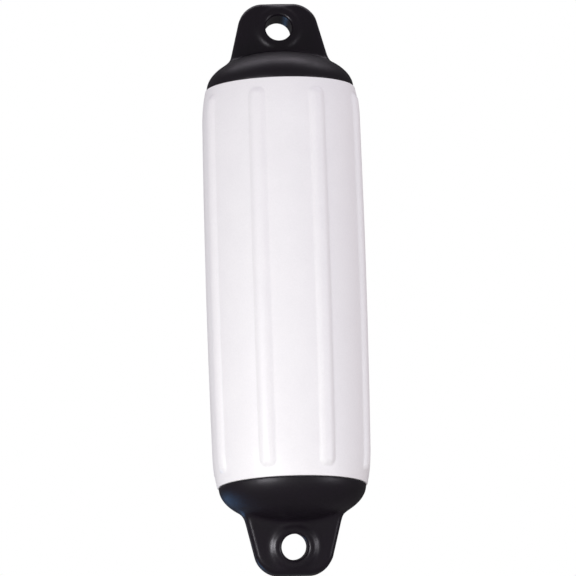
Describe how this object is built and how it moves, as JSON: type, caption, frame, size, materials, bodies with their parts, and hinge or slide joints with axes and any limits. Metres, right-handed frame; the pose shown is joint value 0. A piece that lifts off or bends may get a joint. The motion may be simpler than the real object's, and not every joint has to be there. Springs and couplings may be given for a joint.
{
  "type": "boat fender",
  "caption": "Hanging inflatable boat fender: ribbed white vinyl body between two domed black end caps, each with a rope eye.",
  "frame": {"origin": "middle of the fender on its long axis, halfway between the two rope-eye tips", "axes": "+Z along the fender to the end with the valve, -Y out of the front faces of the rope eyes, +X across them"},
  "size_m": [0.158, 0.158, 0.5698],
  "materials": {
    "white_vinyl": "satin white vinyl with a faint grain",
    "black_vinyl": "satin black vinyl",
    "valve_rubber": "dull black rubber"
  },
  "bodies": {
    "root": {"ribbed_body": "white_vinyl", "top_end_cap": "black_vinyl", "bottom_end_cap": "black_vinyl", "inflation_valve": "valve_rubber"}
  },
  "joints": []
}
